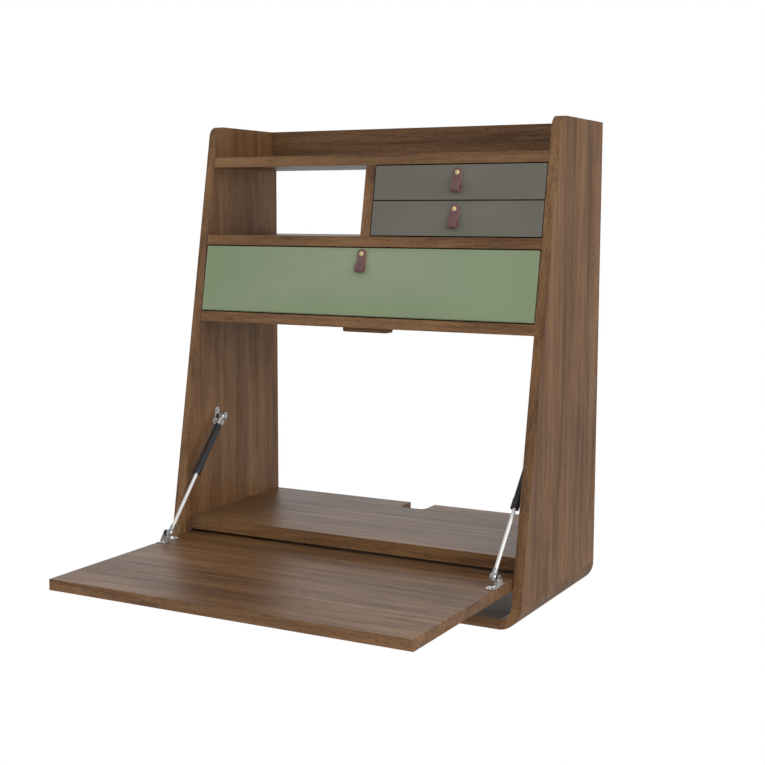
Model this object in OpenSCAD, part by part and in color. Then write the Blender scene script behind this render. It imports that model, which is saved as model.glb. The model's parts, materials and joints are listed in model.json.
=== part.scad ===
// Wall desk with a fold down leaf, an open niche, two drawers and a drop front.
// X runs to the right, Y towards the wall, Z up. The back lies in the plane Y = 0 and
// the origin is in the middle of the row of wall screws. Heights named _z or _h are
// measured from the underside of the carcass.

/* [Carcass] */
// Width over the side panels
body_w = 800; // [700:10:1000]
// Height of the side panels with the rounded bottom corners
body_h = 950; // [920:5:1050]
// Depth of the side panels at the bottom
depth_bottom = 404; // [390:2:450]
// Depth of the side panels at the top
depth_top = 230; // [215:1:260]
// Thickness of the side panels
side_t = 20; // [19:0.5:25]
// Thickness of the bottom panel
bottom_t = 18; // [16:0.5:24]
// Outer radius of the two bottom corners
corner_r = 43; // [35:1:60]
// Radius of the top front corners of the side panels
top_corner_r = 25; // [10:1:40]
// Thickness of the three shelves
shelf_t = 21; // [18:0.5:24]
// Thickness of the upright between niche and drawers
divider_t = 21; // [18:0.5:24]
// Sideways place of the middle of the upright
divider_x = 1; // [-40:1:40]
// Height of the back rail above the top shelf
rail_h = 66; // [62:1:90]
// Thickness of the back rail
rail_t = 18; // [16:0.5:24]
// Thickness of the two back panels
back_t = 6; // [4:0.5:10]
// Clear height of the niche
niche_h = 142; // [130:1:160]
// Clear height of the space behind the drop front
flap_space_h = 139.5; // [120:0.5:160]

/* [Desk shelf] */
// Height of the underside of the desk shelf
desk_z = 100; // [95:1:115]
// Thickness of the desk shelf
desk_t = 26; // [21:0.5:30]
// Distance of the desk shelf's front edge behind the hinge line of the leaf
desk_setback = 3.5; // [1.5:0.25:20]
// Width of the cable notch
notch_w = 60; // [40:1:120]
// Depth of the cable notch
notch_d = 56; // [35:1:90]
// Corner radius of the cable notch
notch_r = 14; // [5:0.5:19]

/* [Leaf] */
// Thickness of the leaf
leaf_t = 21; // [18:0.5:22]
// Gap between the leaf and the underside of the desk shelf
leaf_gap = 7; // [5:0.25:9]
// Gap between the leaf and each side panel
leaf_side_gap = 2; // [1.5:0.1:3]
// Gap above the closed leaf
leaf_top_gap = 4; // [2:0.25:6]
// Length of the leaf behind its hinge line
leaf_tail = 30; // [26:1:40]
// Height of the hinge line above the top face of the open leaf
pivot_rise = 8; // [7.5:0.1:9]
// Width of the stop block under the lower shelf
stop_w = 104; // [60:1:160]
// Height of the stop block
stop_h = 10; // [9:0.5:16]
// Depth of the stop block
stop_d = 18; // [15:1:40]
// Sideways place of the middle of the stop block
stop_x = 10; // [-40:1:40]

/* [Fronts] */
// Gap around the drop front and the drawer fronts
front_gap = 2; // [1.8:0.1:3]
// Thickness of the drop front
flap_t = 18; // [16:0.5:19]
// Height of the drop front's pivot above its lower edge
flap_pivot_up = 24; // [23:0.5:28]
// Distance of the drop front's pivot behind its face
flap_pivot_in = 6; // [5:0.25:8]
// Thickness of the drawer fronts
drawer_front_t = 16; // [14:0.5:19]
// Thickness of the drawer sides and backs
drawer_side_t = 12; // [10:0.5:14]
// Length of the drawer boxes behind the upper front
drawer_l = 205; // [180:1:210]

/* [Pulls] */
// Width of the leather strap
strap_w = 19; // [15:0.5:30]
// Thickness of the leather
strap_t = 2.4; // [1.8:0.1:3]
// Length of the strap below its rivet
strap_drop = 38.5; // [32:0.5:45]
// Length of the strap above its rivet
strap_head = 9; // [7:0.25:10]
// Outer radius of the strap's loop
loop_r = 6.5; // [5.5:0.1:9]
// Distance of the rivet below the top of a drawer front
drawer_pull_down = 16; // [12:0.5:20]
// Distance of the rivet below the top of the drop front
flap_pull_down = 12; // [10:0.5:20]

/* [Stays] */
// Distance of a stay from the inner face of its side panel
stay_inset = 16.5; // [15:0.5:20]
// Distance of the lower ball in front of the hinge line
ball_reach = 87; // [80:0.5:88]
// Height of the lower ball above the open leaf
ball_rise = 17; // [16:0.5:20]
// Distance of the upper ball behind the sloping front
upper_ball_in = 93.8; // [86:0.2:98]
// Height of the upper ball above the hinge line of the leaf
upper_ball_rise = 227.5; // [227:0.5:235]
// Radius of the piston rod
rod_r = 3.5; // [3:0.1:4]
// Radius of the tube
tube_r = 7.5; // [7:0.1:7.8]

/* [Hanging] */
// Depth of the row of wall screws below the top of the side panels
hang_down = 47; // [45:0.5:49]
// Length of the two hanging bars
bar_l = 640; // [560:10:680]
// Thickness of the hanging bars
bar_t = 2.5; // [2:0.1:3]
// Distance between the outer wall screws
outer_screw_pitch = 560; // [480:10:600]
// Distance between the inner wall screws
inner_screw_pitch = 240; // [160:10:300]
// Diameter of the holes for the wall screws
wall_hole_d = 5.5; // [4:0.1:6]

/* [Hidden] */
$fn = 64;

// Radius of the stop block's lower edges, as a share of its height
stop_edge_share = 0.45;
// Overrun of every cut past the face it opens
over = 1;
// Radial clearance of pins, dowels and screws in their holes
pin_fit = 0.05;
// Gap at the blind end of a hole
hole_end_gap = 0.5;
// Gap between a moving piece and what it comes to rest against
rest_gap = 0.3;

// Walnut, painted fronts, leather and metals
walnut = [0.43, 0.32, 0.23];
walnut_pale = [0.55, 0.43, 0.31];
green = [0.50, 0.55, 0.44];
grey = [0.40, 0.40, 0.36];
leather = [0.39, 0.27, 0.28];
brass = [0.80, 0.75, 0.47];
chrome = [0.80, 0.80, 0.82];
dark = [0.17, 0.17, 0.18];
brown = [0.33, 0.25, 0.19];

// Lean of the front: the front edge of everything lies in one sloping plane
lean_share = (depth_bottom - depth_top) / body_h;
lean = atan(lean_share);
function front_y(z) = -depth_bottom + lean_share * z;

// Height of the row of wall screws above the underside
hang_z = body_h - hang_down;

// Inner faces of the side panels
inner_x = body_w / 2 - side_t;

// Heights of the shelves
top_shelf_z = body_h - rail_h - shelf_t;
middle_shelf_z = top_shelf_z - niche_h - shelf_t;
lower_shelf_z = middle_shelf_z - flap_space_h - shelf_t;
desk_top_z = desk_z + desk_t;

// Hinge line of the leaf, set so that the closed leaf is flush with the sloping front
leaf_top_z = desk_z - leaf_gap;
pivot_z = leaf_top_z + pivot_rise;
pivot_to_outer = pivot_rise + leaf_t;
pivot_y = front_y(pivot_z) + pivot_to_outer / cos(lean);
leaf_angle = 90 + lean;
leaf_half_w = inner_x - leaf_side_gap;
leaf_reach = (lower_shelf_z - leaf_top_gap - pivot_z - pivot_to_outer * sin(lean))
    / cos(lean);

// Depth of the desk shelf from the wall
desk_depth = -pivot_y - desk_setback;

// Pivot plates at the ends of the leaf
plate_t = 2;
plate_let_in = 1;
plate_half_l = 22;
plate_margin = 3;
eye_r = 5;
leaf_pin_r = 2.5;
leaf_pin_in = 14;
eye_relief = 0.6;
plate_out_x = leaf_half_w - plate_let_in + plate_t;
leaf_pin_end_x = leaf_half_w - plate_let_in - rest_gap;

// Wood screws: radius of the shank, of the head, length and head height
small_screw_r = 1.75;
small_head_r = 3.4;
small_head_h = 1.6;
small_screw_l = 14;
flat_head_r = 3.2;
flat_head_h = 1.4;
plate_screw_offset = 15;

// Dowels
dowel_r = 4;
dowel_l = 28;
dowel_in_panel = 12;
dowel_edge = 45;
corner_dowel_edge = 60;

// Drop front: its lower edge, pivot and stop
flap_z = lower_shelf_z + shelf_t + front_gap;
flap_top_z = middle_shelf_z - front_gap;
flap_pivot_z = flap_z + flap_pivot_up;
flap_pivot_y = front_y(flap_pivot_z) + flap_pivot_in / cos(lean);
flap_half_w = inner_x - front_gap;
flap_edge = 2.5;
flap_pin_r = 2.5;
flap_pin_in = 12;
flap_pin_deep = 14;
stop_pin_r = 3;
stop_pin_out = 12;
stop_pin_off = flap_t - flap_pivot_in + stop_pin_r + rest_gap;
stop_pin_y = flap_pivot_y + stop_pin_off * (1 + sin(lean)) / cos(lean);
stop_pin_z = flap_pivot_z + stop_pin_off;

// Drawers
bay_left = divider_x + divider_t / 2;
bay_mid = (bay_left + inner_x) / 2;
drawer_z0 = middle_shelf_z + shelf_t + front_gap;
drawer_front_h = (niche_h - 3 * front_gap) / 2;
drawer_side_gap = 3;
drawer_lift = 4;
drawer_drop = 8;
runner_grip = 3.5;
runner_h = 9;
runner_fit = 0.3;
runner_back = 12;
groove_gap = 0.5;
runner_share = 0.5;
tray_t = 4;
tray_up = 6;
tray_in = 4;
tray_fit = 0.1;
drawer_travel = 160;
drawer_half_w = (inner_x - bay_left) / 2 - drawer_side_gap;
drawer_back_y = front_y(drawer_z0 + drawer_front_h + front_gap)
    + drawer_front_t / cos(lean) + drawer_l;
front_half_w = (inner_x - bay_left) / 2 - front_gap;

// Leather pulls
strap_corner_r = strap_w / 2;
rivet_r = 1.8;
rivet_head_r = 4.6;
rivet_head_h = 1.8;
rivet_nut_r = 5;
rivet_nut_h = 1.4;
dome_share = 1.6;
arc_steps = 24;
full_turn = 360;
half_turn = full_turn / 2;
loop_off = 0.25;
loop_n = loop_r + loop_off;
loop_w = loop_r - strap_drop;
strap_pinch_w = -13;
// Air between a flat face and what is riveted on it
face_gap = 0.02;

// Stays: balls, sockets, tube and rod along the line between the two balls
stay_x = inner_x - stay_inset;
upper_ball_z = pivot_z + upper_ball_rise;
upper_ball_y = -front_y(upper_ball_z) - upper_ball_in;
lower_ball_y = pivot_y - ball_reach;
lower_ball_z = leaf_top_z + ball_rise;
stay_open = norm([upper_ball_z - lower_ball_z, -upper_ball_y - lower_ball_y]);
stay_turn = atan2(-upper_ball_y - lower_ball_y, upper_ball_z - lower_ball_z);
ball_up = ball_rise - pivot_rise;
closed_ball_y = pivot_y - ball_reach * cos(leaf_angle) + ball_up * sin(leaf_angle);
closed_ball_z = pivot_z + ball_reach * sin(leaf_angle) + ball_up * cos(leaf_angle);
stay_closed = norm([upper_ball_z - closed_ball_z, -upper_ball_y - closed_ball_y]);
ball_r = 4;
ball_fit = 0.05;
ball_neck_r = 2.6;
socket_r = 8;
socket_mouth_r = 3.5;
neck_r = 5;
neck_end = 17;
tube_start = 9;
tube_floor = 12;
// Cup of the upper socket: length down the tube, wall and height of its shoulder
cup_l = 14;
cup_wall = 0.7;
cup_r = tube_r + pin_fit + cup_wall;
cup_shoulder = 2;
tube_wall = 1.3;
tube_bore_r = tube_r - tube_wall;
guide_wall = 0.8;
guide_r = tube_r + guide_wall;
guide_l = 20;
guide_lip = 2;
piston_fit = 0.1;
piston_r = tube_bore_r - piston_fit;
piston_l = 3.5;
stay_end_gap = 0.8;
rod_sink = 4;
tube_end = stay_closed - neck_end - stay_end_gap;
rod_end = stay_closed - tube_floor - stay_end_gap;
thread_r = 2.5;

// Upper mount: a plate with three round lobes, one screw in each
mount_t = 2;
lobe_r = 8;
lobe_places = [[32, -4], [2, 12], [-7, -10]];
mount_boss_r = 6;
mount_boss_h = 1.5;
hex_r = 5.6;
hex_h = 3;
low_hex_h = 2;

// Lower mount: a foot on the leaf with an upright tab
tab_x_gap = 11;
foot_half_l = 28;
foot_w = 16;
foot_waist_w = 9;
foot_waist_half_l = 9;
foot_ear_r = 5;
tab_half_l = 19;
tab_top_r = 5;
tab_top_up = 5;
mount_screw_y = 22;
mount_screw_x = 9;
rivet_tail = 1.2;

// Hanging bars, in heights above the row of wall screws
bar_foot_down = 12;
bar_step_z = 4;
bar_hook_z = 16;
cabinet_step_z = 18;
cabinet_bar_top = 34;
bar_fit = 0.2;
recess_margin = 5;
recess_lip = 1;
bar_screw_z = 27;
bar_screw_share = 0.4375;

// Sets a shape given in heights above the underside at its place on the wall
module placed() {
    translate([0, 0, -hang_z]) children();
}

// Outline in Y and Z made solid from x0 over the width w
module across(x0, w) {
    translate([x0, 0, 0]) rotate([90, 0, 90]) linear_extrude(w) children();
}

// Outline in X and Z made solid from the wall plane to the front
module deep(d) {
    rotate([90, 0, 0]) linear_extrude(d) children();
}

// Round bar along X from x0 to x1, for an axis at y, z
module bar_x(x0, x1, y, z, r) {
    translate([min(x0, x1), y, z]) rotate([0, 90, 0]) cylinder(r = r, h = abs(x1 - x0));
}

// Cross section of a level board whose front edge lies in the sloping plane
module board_outline(z0, t) {
    polygon([[0, z0], [0, z0 + t], [front_y(z0 + t), z0 + t], [front_y(z0), z0]]);
}

// Mirrors a right hand piece to the side given by s, 1 or -1
module handed(s) {
    if (s > 0) children();
    else mirror([1, 0, 0]) children();
}

// Dowels of a level board in the side panels, with the clearance grow all round
module end_dowels(z_mid, front, grow) {
    for (s = [1, -1], y = [-dowel_edge, front + dowel_edge])
        handed(s)
            bar_x(inner_x + dowel_in_panel + grow, inner_x + dowel_in_panel - dowel_l - grow,
                y, z_mid, dowel_r + min(grow, pin_fit));
}

// Dowels at the ends of the back rail
module rail_dowels(grow) {
    for (s = [1, -1], z = [top_shelf_z + shelf_t + rail_h / 4, body_h - rail_h / 4])
        handed(s)
            bar_x(inner_x + dowel_in_panel + grow, inner_x + dowel_in_panel - dowel_l - grow,
                -rail_t / 2, z, dowel_r + min(grow, pin_fit));
}

// Upright dowels between the divider and the shelf above or below it
module divider_dowels(z_joint, grow) {
    for (y = [-dowel_edge, front_y(z_joint) + dowel_edge])
        translate([divider_x, y, z_joint - dowel_l / 2 - grow])
            cylinder(r = dowel_r + min(grow, pin_fit), h = dowel_l + 2 * grow);
}

// Dowels between a corner block and its side panel and bottom panel
module corner_dowels(grow) {
    for (s = [1, -1], y = [-corner_dowel_edge, front_y(corner_r) + corner_dowel_edge])
        handed(s) {
            translate([body_w / 2 - side_t / 2, y, corner_r - dowel_l / 2 - grow])
                cylinder(r = dowel_r + min(grow, pin_fit), h = dowel_l + 2 * grow);
            bar_x(body_w / 2 - corner_r - dowel_l / 2 - grow,
                body_w / 2 - corner_r + dowel_l / 2 + grow,
                y, bottom_t / 2, dowel_r + min(grow, pin_fit));
        }
}

module dowels() {
    color(walnut_pale) placed() {
        end_dowels(top_shelf_z + shelf_t / 2, front_y(top_shelf_z), 0);
        end_dowels(middle_shelf_z + shelf_t / 2, front_y(middle_shelf_z), 0);
        end_dowels(lower_shelf_z + shelf_t / 2, front_y(lower_shelf_z), 0);
        end_dowels(desk_z + desk_t / 2, -desk_depth, 0);
        rail_dowels(0);
        divider_dowels(top_shelf_z, 0);
        divider_dowels(middle_shelf_z + shelf_t, 0);
        corner_dowels(0);
    }
}

// Outline of a side panel, in Y and Z
module side_outline() {
    arc_z = body_h - top_corner_r;
    arc_y = front_y(arc_z) + top_corner_r / cos(lean);
    tangent = [arc_y - top_corner_r * cos(lean), arc_z + top_corner_r * sin(lean)];
    polygon([[0, corner_r], [0, body_h], [arc_y, body_h], [arc_y, arc_z], tangent,
        [front_y(corner_r), corner_r]]);
    translate([arc_y, arc_z]) circle(r = top_corner_r, $fn = 96);
}

// Right hand side panel with all its blind holes
module side_panel() {
    difference() {
        across(inner_x, side_t) side_outline();
        end_dowels(top_shelf_z + shelf_t / 2, front_y(top_shelf_z), hole_end_gap);
        end_dowels(middle_shelf_z + shelf_t / 2, front_y(middle_shelf_z), hole_end_gap);
        end_dowels(lower_shelf_z + shelf_t / 2, front_y(lower_shelf_z), hole_end_gap);
        end_dowels(desk_z + desk_t / 2, -desk_depth, hole_end_gap);
        rail_dowels(hole_end_gap);
        corner_dowels(hole_end_gap);
        bar_x(inner_x - over, inner_x + leaf_pin_in + hole_end_gap, pivot_y, pivot_z,
            leaf_pin_r + pin_fit);
        bar_x(inner_x - over, inner_x + flap_pin_in + hole_end_gap, flap_pivot_y,
            flap_pivot_z, flap_pin_r + pin_fit);
        bar_x(inner_x - over, inner_x + flap_pin_in + hole_end_gap, stop_pin_y,
            stop_pin_z, stop_pin_r + pin_fit);
        for (p = lobe_places)
            bar_x(inner_x - over, inner_x + small_screw_l - mount_t + hole_end_gap,
                -upper_ball_y + p[0], upper_ball_z + p[1], small_screw_r + pin_fit);
    }
}

module side_panel_left() { color(walnut) placed() handed(-1) side_panel(); }

module side_panel_right() { color(walnut) placed() handed(1) side_panel(); }

// Sloping front cut of the lowest boards
module low_wedge() {
    across(-body_w, 2 * body_w)
        polygon([[0, 0], [0, corner_r], [front_y(corner_r), corner_r], [front_y(0), 0]]);
}

module bottom_panel() {
    color(walnut) placed() difference() {
        intersection() {
            translate([-body_w / 2 + corner_r, -depth_bottom, 0])
                cube([body_w - 2 * corner_r, depth_bottom, bottom_t]);
            low_wedge();
        }
        corner_dowels(hole_end_gap);
    }
}

// Right hand corner block: round outside, round inside
module corner_block() {
    inner_r = corner_r - side_t;
    difference() {
        intersection() {
            deep(depth_bottom) translate([body_w / 2 - corner_r, 0]) difference() {
                union() {
                    translate([0, corner_r]) intersection() {
                        circle(r = corner_r, $fn = 128);
                        translate([0, -corner_r]) square(corner_r);
                    }
                }
                translate([0, bottom_t + inner_r]) {
                    circle(r = inner_r, $fn = 96);
                    translate([-over, 0]) square([inner_r + over, corner_r]);
                }
                translate([-over, bottom_t]) square([over, corner_r]);
            }
            low_wedge();
        }
        corner_dowels(hole_end_gap);
    }
}

module corner_block_left() { color(walnut) placed() handed(-1) corner_block(); }

module corner_block_right() { color(walnut) placed() handed(1) corner_block(); }

module back_rail() {
    color(walnut) placed() difference() {
        translate([-inner_x, -rail_t, top_shelf_z + shelf_t])
            cube([2 * inner_x, rail_t, rail_h]);
        rail_dowels(hole_end_gap);
        translate([-bar_l / 2 - recess_margin, -2 * bar_t - bar_fit,
            hang_z - bar_foot_down - recess_lip])
            cube([bar_l + 2 * recess_margin, rail_t,
                bar_foot_down + cabinet_bar_top + 2 * recess_lip]);
        cabinet_screws(pin_fit, hole_end_gap);
    }
}

module top_shelf() {
    color(walnut) placed() difference() {
        across(-inner_x, 2 * inner_x) board_outline(top_shelf_z, shelf_t);
        end_dowels(top_shelf_z + shelf_t / 2, front_y(top_shelf_z), hole_end_gap);
        divider_dowels(top_shelf_z, hole_end_gap);
    }
}

module middle_shelf() {
    color(walnut) placed() difference() {
        across(-inner_x, 2 * inner_x) board_outline(middle_shelf_z, shelf_t);
        end_dowels(middle_shelf_z + shelf_t / 2, front_y(middle_shelf_z), hole_end_gap);
        divider_dowels(middle_shelf_z + shelf_t, hole_end_gap);
    }
}

module lower_shelf() {
    color(walnut) placed() difference() {
        across(-inner_x, 2 * inner_x) board_outline(lower_shelf_z, shelf_t);
        end_dowels(lower_shelf_z + shelf_t / 2, front_y(lower_shelf_z), hole_end_gap);
    }
}

module divider() {
    color(walnut) placed() difference() {
        across(divider_x - divider_t / 2, divider_t)
            board_outline(middle_shelf_z + shelf_t, niche_h);
        divider_dowels(top_shelf_z, hole_end_gap);
        divider_dowels(middle_shelf_z + shelf_t, hole_end_gap);
    }
}

// Cable notch open to the wall, with round inner corners
module notch_cut() {
    translate([0, 0, desk_z - over]) linear_extrude(desk_t + 2 * over) {
        translate([-notch_w / 2, -notch_d + notch_r]) square([notch_w, notch_d]);
        translate([-notch_w / 2 + notch_r, -notch_d]) square([notch_w - 2 * notch_r, notch_d]);
        for (s = [1, -1])
            translate([s * (notch_w / 2 - notch_r), -notch_d + notch_r]) circle(r = notch_r);
    }
}

// Back of the drawers' bay, and back of the space behind the drop front
module drawer_bay_back() {
    color(walnut) placed()
        translate([divider_x + divider_t / 2, -back_t, middle_shelf_z + shelf_t])
            cube([inner_x - divider_x - divider_t / 2, back_t, niche_h]);
}

module flap_space_back() {
    color(walnut) placed() translate([-inner_x, -back_t, lower_shelf_z + shelf_t])
        cube([2 * inner_x, back_t, flap_space_h]);
}

module desk_shelf() {
    color(walnut) placed() difference() {
        translate([-inner_x, -desk_depth, desk_z]) cube([2 * inner_x, desk_depth, desk_t]);
        notch_cut();
        end_dowels(desk_z + desk_t / 2, -desk_depth, hole_end_gap);
        for (s = [1, -1])
            handed(s) bar_x(leaf_pin_end_x - rest_gap, inner_x + over, pivot_y, pivot_z,
                eye_r + eye_relief);
    }
}

// Stop block: its leaning face meets the inner face of the closed leaf
module stop_block() {
    stop_edge_r = stop_h * stop_edge_share;
    set_back = leaf_t / cos(lean) + rest_gap;
    z0 = lower_shelf_z - stop_h;
    color(walnut) placed() intersection() {
        across(stop_x - stop_w / 2, stop_w)
            polygon([[front_y(z0) + set_back, z0],
                [front_y(lower_shelf_z) + set_back, lower_shelf_z],
                [front_y(lower_shelf_z) + set_back + stop_d, lower_shelf_z],
                [front_y(lower_shelf_z) + set_back + stop_d, z0]]);
        deep(depth_bottom) translate([stop_x, 0]) {
            translate([-stop_w / 2, z0 + stop_edge_r]) square([stop_w, stop_h]);
            translate([-stop_w / 2 + stop_edge_r, z0]) square([stop_w - 2 * stop_edge_r, stop_h]);
            for (s = [1, -1])
                translate([s * (stop_w / 2 - stop_edge_r), z0 + stop_edge_r])
                    circle(r = stop_edge_r);
        }
    }
}

// Hanging bars: the hook of the cabinet bar drops behind the hook of the wall bar
module wall_bar() {
    near = -bar_t;
    far = -2 * bar_t - bar_fit;
    color(chrome) placed() difference() {
        across(-bar_l / 2, bar_l) translate([0, hang_z])
            polygon([[0, -bar_foot_down], [0, bar_step_z + bar_t],
                [near - bar_fit, bar_step_z + bar_t], [near - bar_fit, bar_hook_z],
                [far, bar_hook_z], [far, bar_step_z], [near, bar_step_z],
                [near, -bar_foot_down]]);
        for (pitch = [outer_screw_pitch, inner_screw_pitch], s = [1, -1])
            translate([s * pitch / 2, over, hang_z]) rotate([90, 0, 0])
                cylinder(d = wall_hole_d, h = 2 * bar_t + 2 * over);
    }
}

module cabinet_bar() {
    near = -bar_t;
    far = -2 * bar_t - bar_fit;
    color(chrome) placed() difference() {
        across(-bar_l / 2, bar_l) translate([0, hang_z])
            polygon([[0, bar_step_z + bar_t], [0, cabinet_step_z + bar_t],
                [near - bar_fit, cabinet_step_z + bar_t], [near - bar_fit, cabinet_bar_top],
                [far, cabinet_bar_top], [far, cabinet_step_z], [near, cabinet_step_z],
                [near, bar_step_z + bar_t]]);
        cabinet_screws(pin_fit, hole_end_gap);
    }
}

// Four flat head screws through the cabinet bar into the back rail
module cabinet_screws(grow, end_grow) {
    for (i = [-1, 1], share = [bar_screw_share, bar_screw_share / 2])
        translate([i * share * bar_l, -bar_t - bar_fit, hang_z + bar_screw_z])
            rotate([90, 0, 0]) {
                cylinder(r = small_screw_r + grow, h = small_screw_l - bar_t + end_grow);
                cylinder(r1 = flat_head_r + grow, r2 = small_screw_r + grow, h = flat_head_h);
            }
}

module cabinet_bar_screws() { color(dark) placed() cabinet_screws(0, 0); }

// Plate of the upper mount against the side panel, with a boss for the ball stud
module strut_mount_upper() {
    placed() translate([inner_x - mount_t, -upper_ball_y, upper_ball_z]) difference() {
        union() {
            rotate([90, 0, 90]) linear_extrude(mount_t) {
                circle(r = lobe_r + mount_t);
                for (p = lobe_places) {
                    translate(p) circle(r = lobe_r);
                    rotate(atan2(p[1], p[0])) translate([0, -lobe_r / 2])
                        square([norm(p), lobe_r]);
                }
            }
            bar_x(-mount_boss_h, mount_t, 0, 0, mount_boss_r);
        }
        for (p = lobe_places)
            bar_x(-over, mount_t + over, p[0], p[1], small_screw_r + pin_fit);
    }
}

module strut_mount_upper_left() { color(chrome) handed(-1) strut_mount_upper(); }

module strut_mount_upper_right() { color(chrome) handed(1) strut_mount_upper(); }

// Cross recess in the head of a screw that stands at the origin, head towards +Z
module cross_recess(head_r, head_h) {
    slot_w_share = 0.28;
    slot_l_share = 1.3;
    for (turn = [0, 90])
        rotate(turn)
            translate([-head_r * slot_l_share / 2, -head_r * slot_w_share / 2, head_h / 2])
                cube([head_r * slot_l_share, head_r * slot_w_share, head_h]);
}

// Pan head screw along +Z, the underside of its head at the origin
module pan_screw() {
    difference() {
        union() {
            intersection() {
                cylinder(r = small_head_r, h = small_head_h);
                translate([0, 0, small_head_h - 2 * small_head_r])
                    sphere(r = 2 * small_head_r);
            }
            translate([0, 0, -small_screw_l]) cylinder(r = small_screw_r, h = small_screw_l);
        }
        cross_recess(small_head_r, small_head_h);
    }
}

module upper_mount_screws() {
    color(chrome) placed() for (s = [1, -1], p = lobe_places)
        handed(s) translate([inner_x - mount_t, -upper_ball_y + p[0], upper_ball_z + p[1]])
            rotate([0, -90, 0]) pan_screw();
}

// Ball stud along +X from the ball, with a hexagon of height h at its foot
module ball_stud(base_x, h) {
    rotate([0, 90, 0]) sphere(r = ball_r);
    bar_x(0, base_x - h, 0, 0, ball_neck_r);
    translate([base_x - h, 0, 0]) rotate([0, 90, 0])
        cylinder(r = hex_r, h = h, $fn = 6);
}

module stay_frame(s) {
    placed() handed(s) translate([stay_x, lower_ball_y, lower_ball_z])
        rotate([-stay_turn, 0, 0]) children();
}

// Ball socket with its neck along +Z, open towards +X
module ball_socket() {
    difference() {
        union() {
            rotate(half_turn) sphere(r = socket_r);
            cylinder(r = neck_r, h = neck_end);
        }
        rotate([0, 90, 0]) sphere(r = ball_r + ball_fit);
        bar_x(0, socket_r + over, 0, 0, socket_mouth_r);
        translate([0, 0, neck_end - rod_sink]) cylinder(r = rod_r + pin_fit, h = rod_sink + over);
    }
}

// Upper socket: the same head with its neck along -Z, cupped over the tube's end plug
module upper_socket() {
    difference() {
        union() {
            rotate(half_turn) sphere(r = socket_r);
            translate([0, 0, -tube_start]) cylinder(r = neck_r, h = tube_start);
            translate([0, 0, -tube_start - cup_l]) cylinder(r = cup_r, h = cup_l);
            translate([0, 0, -tube_start])
                cylinder(r1 = cup_r, r2 = neck_r, h = cup_shoulder);
        }
        translate([0, 0, -tube_start - cup_l - over])
            cylinder(r = tube_r + pin_fit, h = cup_l + over);
        rotate([0, 90, 0]) sphere(r = ball_r + ball_fit);
        bar_x(0, socket_r + over, 0, 0, socket_mouth_r);
    }
}

module strut_socket_lower_left() { color(chrome) stay_frame(-1) ball_socket(); }

module strut_socket_lower_right() { color(chrome) stay_frame(1) ball_socket(); }

// Piston rod, chromed, with its piston inside the tube
module strut_rod() {
    translate([0, 0, neck_end - rod_sink]) cylinder(r = rod_r, h = rod_end - neck_end + rod_sink);
    translate([0, 0, rod_end - piston_l]) cylinder(r = piston_r, h = piston_l);
}

module strut_rod_left() { color(chrome) stay_frame(-1) strut_rod(); }

module strut_rod_right() { color(chrome) stay_frame(1) strut_rod(); }

// Tube, closed at its upper end
module strut_tube() {
    translate([0, 0, stay_open - tube_end + guide_lip]) difference() {
        cylinder(r = tube_r, h = tube_end - tube_start - guide_lip);
        translate([0, 0, -over])
            cylinder(r = tube_bore_r, h = tube_end - tube_floor - guide_lip + over);
    }
}

module strut_tube_left() { color(dark) stay_frame(-1) strut_tube(); }

module strut_tube_right() { color(dark) stay_frame(1) strut_tube(); }

// Guide collar round the lower end of the tube, with a lip round the rod
module strut_guide() {
    translate([0, 0, stay_open - tube_end]) difference() {
        cylinder(r = guide_r, h = guide_l);
        translate([0, 0, guide_lip]) cylinder(r = tube_r, h = guide_l);
        translate([0, 0, -over]) cylinder(r = rod_r + pin_fit, h = guide_l);
    }
}

module strut_guide_left() { color(dark) stay_frame(-1) strut_guide(); }

module strut_guide_right() { color(dark) stay_frame(1) strut_guide(); }

module strut_socket_upper_left() {
    color(chrome) stay_frame(-1) translate([0, 0, stay_open]) upper_socket();
}

module strut_socket_upper_right() {
    color(chrome) stay_frame(1) translate([0, 0, stay_open]) upper_socket();
}

module upper_ball_stud() {
    ball_stud(stay_inset - mount_t - mount_boss_h - rest_gap, hex_h);
}

module ball_stud_upper_left() {
    color(chrome) stay_frame(-1) translate([0, 0, stay_open]) upper_ball_stud();
}

module ball_stud_upper_right() {
    color(chrome) stay_frame(1) translate([0, 0, stay_open]) upper_ball_stud();
}

// Lower mount of the right hand stay: foot on the leaf and tab beside the ball
module strut_mount_lower() {
    tab_x = stay_x + tab_x_gap;
    placed() translate([tab_x, lower_ball_y, leaf_top_z]) difference() {
        union() {
            linear_extrude(mount_t) {
                translate([-foot_waist_w, -foot_half_l + foot_ear_r])
                    square([foot_waist_w + mount_t, 2 * (foot_half_l - foot_ear_r)]);
                for (s = [1, -1]) {
                    translate([-foot_w + foot_ear_r, s * (foot_half_l - foot_ear_r)])
                        circle(r = foot_ear_r);
                    translate([-foot_w + foot_ear_r, s * foot_half_l - (s + 1) / 2 * foot_ear_r * 2])
                        square([foot_w - foot_ear_r + mount_t, 2 * foot_ear_r]);
                    translate([-foot_w, s * foot_waist_half_l - (1 - s) / 2 * foot_ear_r * 2])
                        square([foot_w, foot_ear_r * 2]);
                }
            }
            rotate([90, 0, 90]) linear_extrude(mount_t) tab_outline();
        }
        bar_x(-over, mount_t + over, 0, ball_rise, thread_r + pin_fit);
        for (s = [1, -1])
            translate([-mount_screw_x, s * mount_screw_y, -over])
                cylinder(r = small_screw_r + pin_fit, h = mount_t + 2 * over);
    }
}

// Outline of the tab: wide at the foot, round at the top
module tab_outline() {
    top = ball_rise + tab_top_up - tab_top_r;
    side = tangent([tab_half_l, 0], [0, top], tab_top_r, 1);
    polygon([[-tab_half_l, 0], [tab_half_l, 0], side, [-side[0], side[1]]]);
    translate([0, top]) circle(r = tab_top_r);
}

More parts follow.
